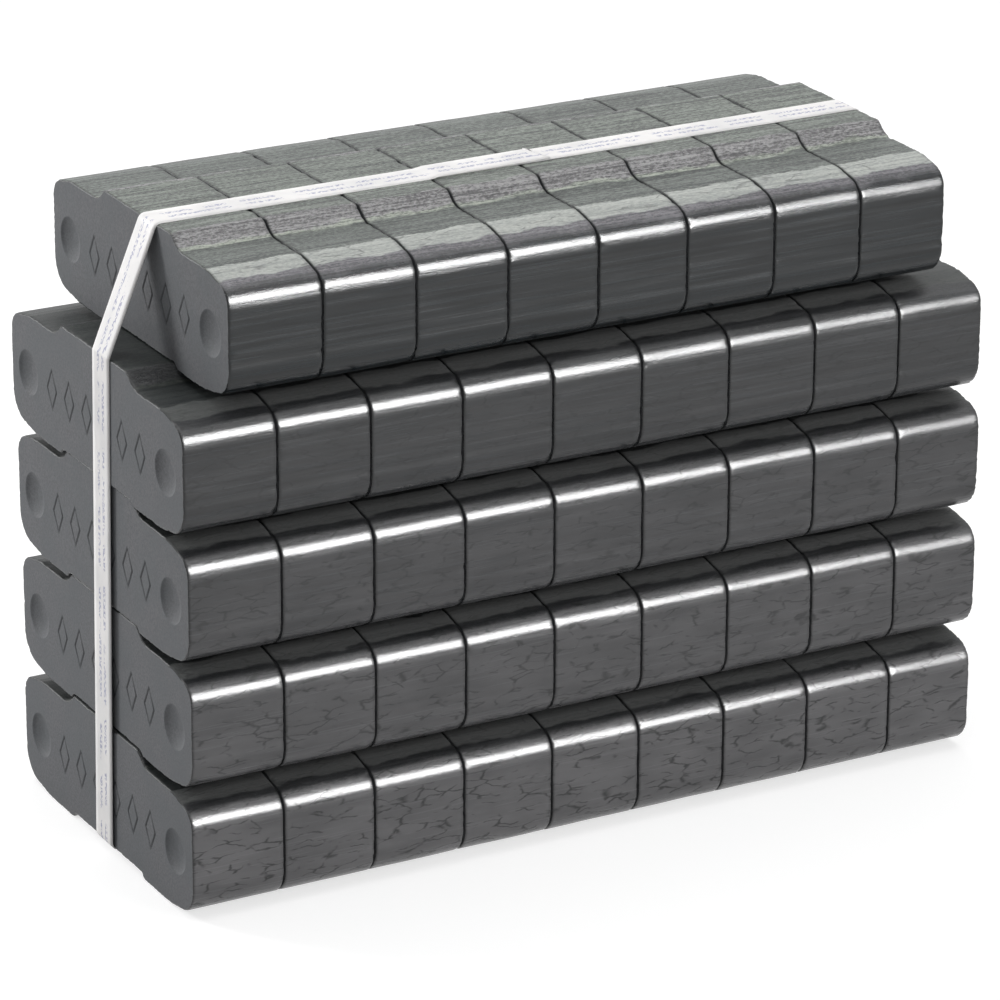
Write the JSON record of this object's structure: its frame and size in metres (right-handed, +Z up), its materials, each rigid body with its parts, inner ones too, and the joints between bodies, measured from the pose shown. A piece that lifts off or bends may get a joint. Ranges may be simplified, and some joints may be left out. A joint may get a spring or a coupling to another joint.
{
  "type": "bundle of brown-coal briquettes",
  "caption": "Strapped stack of pressed brown-coal heating briquettes, laid in rows with crown and recess nested, held by one printed plastic tape.",
  "frame": {"origin": "on the floor, under the middle of the bundle's bounding box", "axes": "+X along the rows of briquettes, +Y from the front to the back across their depth, +Z up; the marked faces look to -X"},
  "size_m": [0.4126, 0.183, 0.3038],
  "materials": {
    "pressed_brown_coal": "satin, die-burnished on the long sides and matt on the pressed ends",
    "strapping_tape": "semi-gloss white tape with pale printed dashes"
  },
  "bodies": {
    "root": {"layer_1_briquette_1": "pressed_brown_coal", "layer_1_briquette_2": "pressed_brown_coal", "layer_1_briquette_3": "pressed_brown_coal", "layer_1_briquette_4": "pressed_brown_coal", "layer_1_briquette_5": "pressed_brown_coal", "layer_1_briquette_6": "pressed_brown_coal", "layer_1_briquette_7": "pressed_brown_coal", "layer_1_briquette_8": "pressed_brown_coal", "layer_1_briquette_9": "pressed_brown_coal", "layer_2_briquette_1": "pressed_brown_coal", "layer_2_briquette_2": "pressed_brown_coal", "layer_2_briquette_3": "pressed_brown_coal", "layer_2_briquette_4": "pressed_brown_coal", "layer_2_briquette_5": "pressed_brown_coal", "layer_2_briquette_6": "pressed_brown_coal", "layer_2_briquette_7": "pressed_brown_coal", "layer_2_briquette_8": "pressed_brown_coal", "layer_2_briquette_9": "pressed_brown_coal", "layer_3_briquette_1": "pressed_brown_coal", "layer_3_briquette_2": "pressed_brown_coal", "layer_3_briquette_3": "pressed_brown_coal", "layer_3_briquette_4": "pressed_brown_coal", "layer_3_briquette_5": "pressed_brown_coal", "layer_3_briquette_6": "pressed_brown_coal", "layer_3_briquette_7": "pressed_brown_coal", "layer_3_briquette_8": "pressed_brown_coal", "layer_3_briquette_9": "pressed_brown_coal", "layer_4_briquette_1": "pressed_brown_coal", "layer_4_briquette_2": "pressed_brown_coal", "layer_4_briquette_3": "pressed_brown_coal", "layer_4_briquette_4": "pressed_brown_coal", "layer_4_briquette_5": "pressed_brown_coal", "layer_4_briquette_6": "pressed_brown_coal", "layer_4_briquette_7": "pressed_brown_coal", "layer_4_briquette_8": "pressed_brown_coal", "layer_4_briquette_9": "pressed_brown_coal", "layer_5_briquette_1": "pressed_brown_coal", "layer_5_briquette_2": "pressed_brown_coal", "layer_5_briquette_3": "pressed_brown_coal", "layer_5_briquette_4": "pressed_brown_coal", "layer_5_briquette_5": "pressed_brown_coal", "layer_5_briquette_6": "pressed_brown_coal", "layer_5_briquette_7": "pressed_brown_coal", "layer_5_briquette_8": "pressed_brown_coal", "strap": "strapping_tape"}
  },
  "joints": []
}
